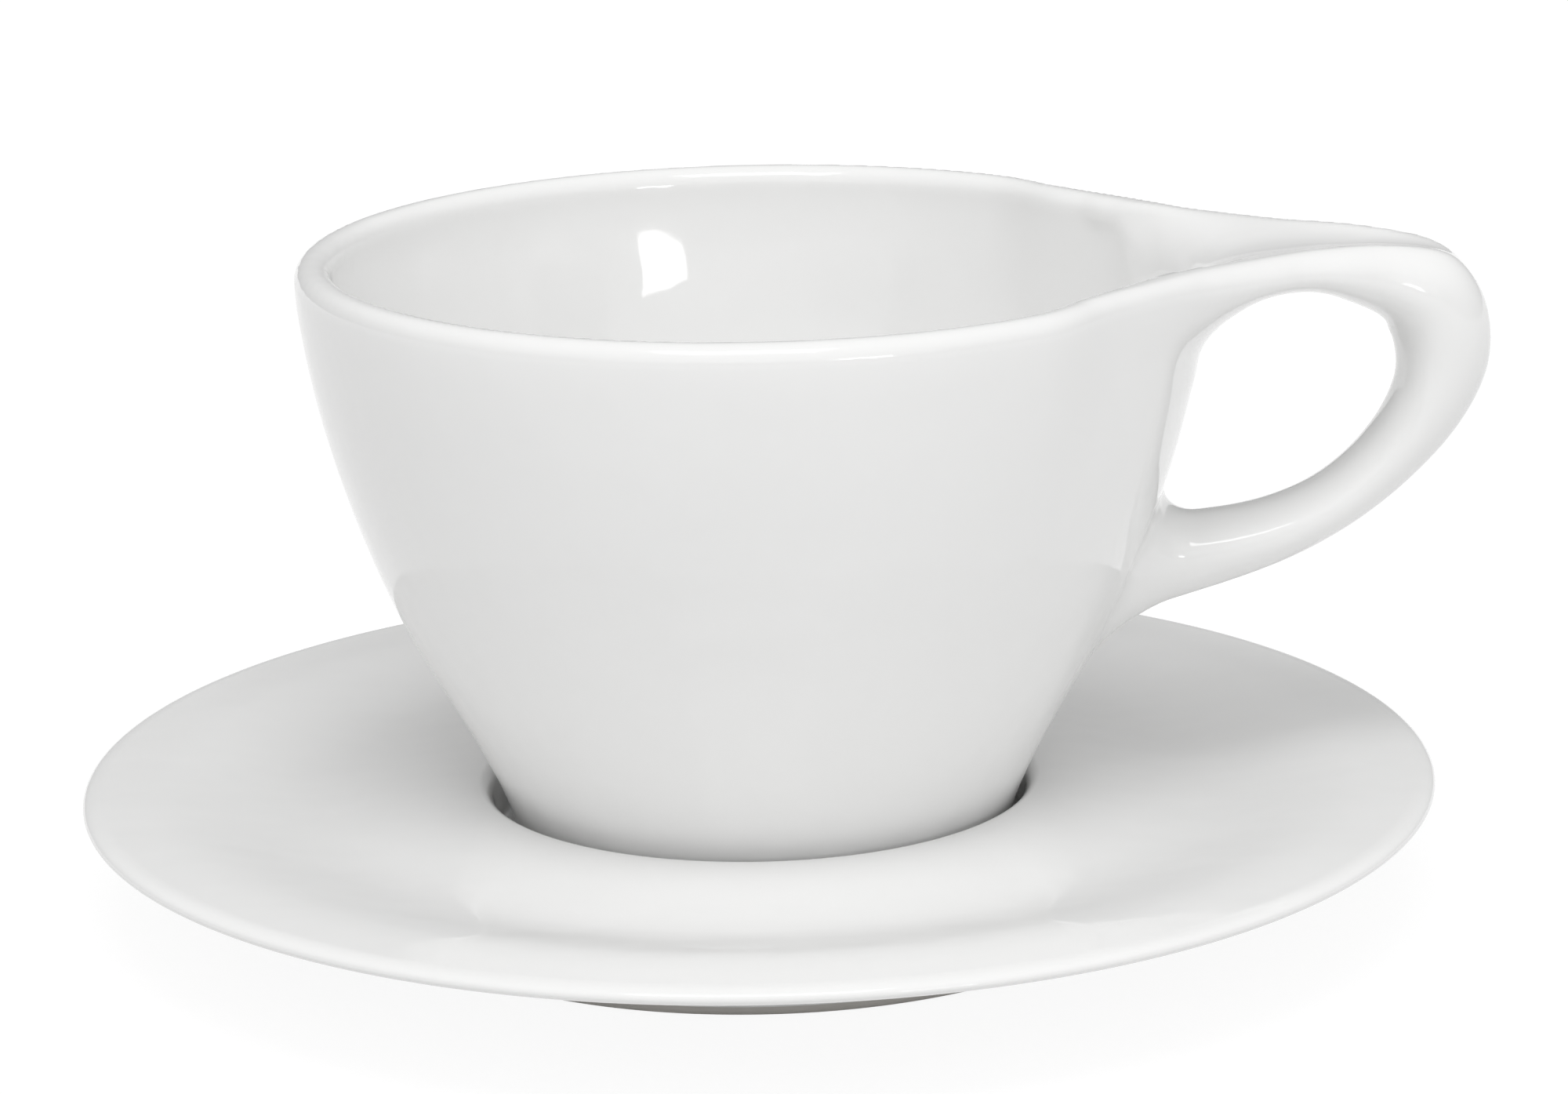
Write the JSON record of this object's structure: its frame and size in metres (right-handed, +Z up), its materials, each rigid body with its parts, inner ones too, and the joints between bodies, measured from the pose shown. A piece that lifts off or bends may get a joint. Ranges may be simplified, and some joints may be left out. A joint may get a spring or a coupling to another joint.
{
  "type": "cup and saucer",
  "caption": "Empty round glazed cup with a rim drawn out into a level loop handle, standing in the well of its dished saucer.",
  "frame": {"origin": "centre of the saucer's foot ring, on the surface it stands on", "axes": "+Z up, +X towards the end of the cup's handle, +Y to the side"},
  "size_m": [0.1559, 0.15, 0.073],
  "materials": {
    "cup": "gloss",
    "saucer": "gloss"
  },
  "bodies": {
    "root": {"cup": "cup", "saucer": "saucer"}
  },
  "joints": []
}
